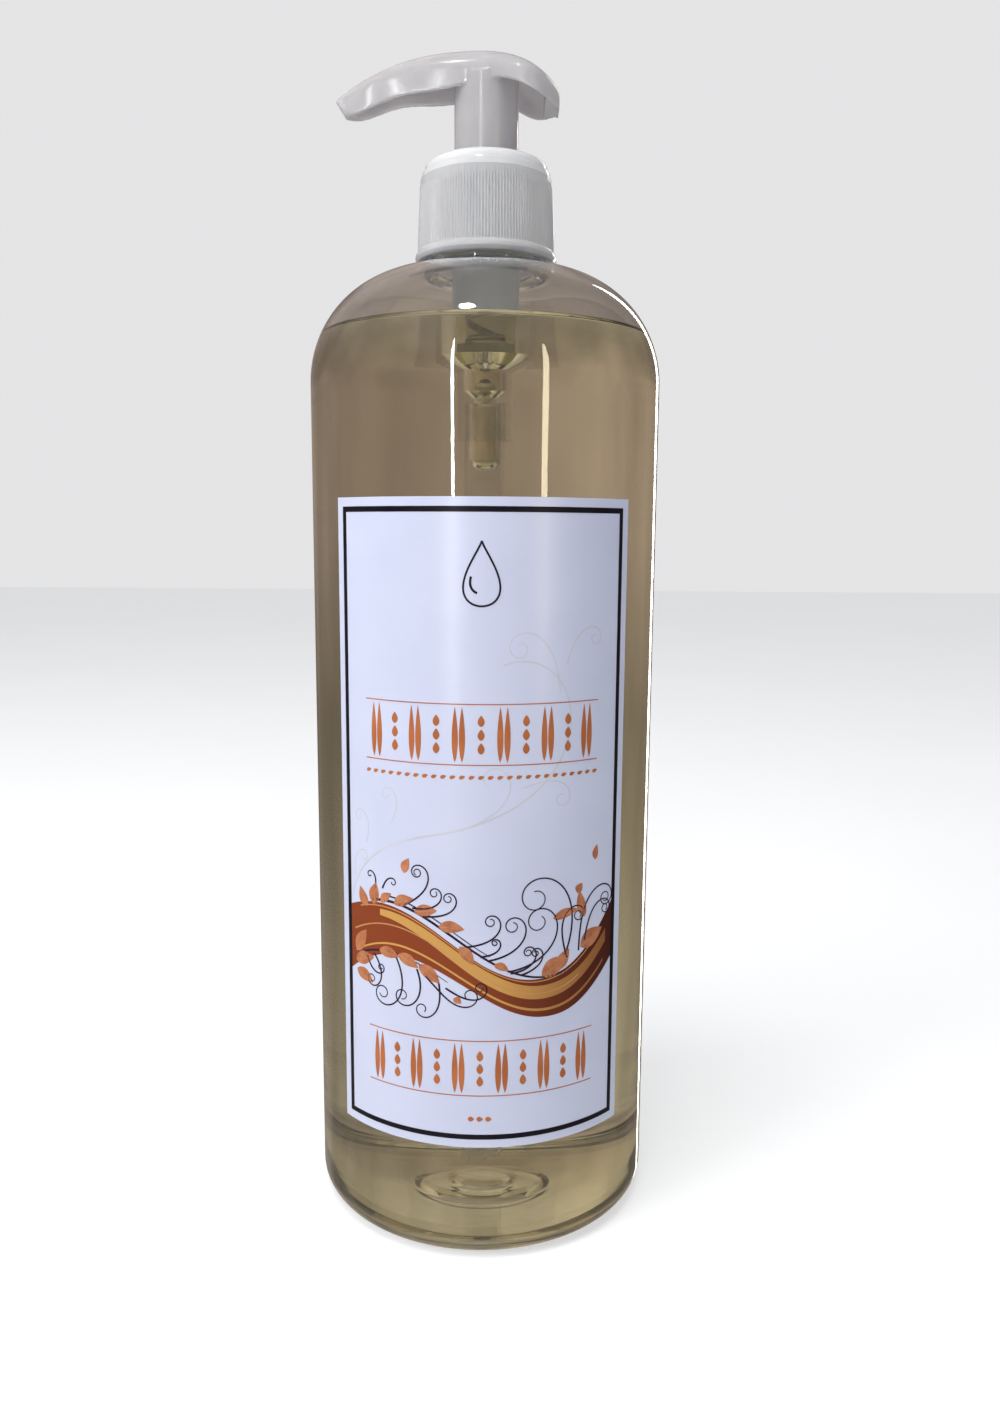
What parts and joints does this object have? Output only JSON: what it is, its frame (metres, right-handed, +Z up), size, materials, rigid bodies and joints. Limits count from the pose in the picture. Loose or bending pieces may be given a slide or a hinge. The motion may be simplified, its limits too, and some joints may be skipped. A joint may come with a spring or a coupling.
{
  "type": "pump oil bottle",
  "caption": "Round clear one-litre oil bottle with a domed shoulder, a plain front label and a screw-on lotion pump whose saddle head presses, turns and lifts off its threads.",
  "frame": {"origin": "centre of the base, on the plane of the standing ring", "axes": "+Z up the bottle's axis; the spout points to -X at rest; the label's centre faces -Y"},
  "size_m": [0.08, 0.0801, 0.2661],
  "materials": {
    "clear_pet": "clear blown PET, glossy",
    "label_film": "white printed film with a slight sheen",
    "oil": "clear pale straw-coloured oil",
    "closure_pp": "natural translucent polypropylene, ribbed",
    "gasket_foam": "white foamed polyethylene",
    "housing_pp": "natural translucent polypropylene",
    "tube_pe": "natural polyethylene tube",
    "ball_steel": "polished steel ball",
    "spring_steel": "drawn stainless wire",
    "seal_pe": "soft white polyethylene",
    "stem_pp": "natural polypropylene",
    "head_pp": "natural translucent polypropylene, satin gloss"
  },
  "bodies": {
    "bottle_body": {"bottle": "clear_pet", "front_label": "label_film", "massage_oil": "oil"},
    "pump_engine": {"pump_housing": "housing_pp", "lock_collar": "housing_pp", "neck_gasket": "gasket_foam", "dip_tube": "tube_pe", "ball_cage": "housing_pp", "return_spring": "spring_steel"},
    "closure_body": {"closure": "closure_pp"},
    "valve_ball": {"check_ball": "ball_steel"},
    "plunger": {"piston_poppet": "seal_pe"},
    "piston_body": {"piston": "seal_pe"},
    "head_body": {"actuator_head": "head_pp", "stem": "stem_pp"}
  },
  "joints": [
    {"name": "pump_lift", "type": "slide", "parent": "bottle_body", "child": "pump_engine", "axis": [0, 0, 1], "range_m": [0, 0.00635]},
    {"name": "closure_turn", "type": "hinge", "parent": "pump_engine", "child": "closure_body", "pos_m": [0, 0, 0.23], "axis": [0, 0, 1], "range_deg": [0, 540.1]},
    {"name": "pump_press", "type": "slide", "parent": "pump_engine", "child": "plunger", "axis": [0, 0, -1], "range_m": [0, 0.0124], "stiffness_N_per_m": 500, "springref_m": -0.01, "deforming": ["return_spring"]},
    {"name": "piston_slip", "type": "slide", "parent": "plunger", "child": "piston_body", "axis": [0, 0, 1], "range_m": [0, 0.0008]},
    {"name": "head_swivel", "type": "hinge", "parent": "plunger", "child": "head_body", "pos_m": [0, 0, 0.25], "axis": [0, 0, 1], "continuous": true},
    {"name": "ball_lift", "type": "slide", "parent": "pump_engine", "child": "valve_ball", "axis": [0, 0, 1], "range_m": [0, 0.0015]}
  ],
  "couplings": [
    {"joint": "closure_turn", "follows": "pump_lift", "rad_per_m": 1484.2}
  ]
}
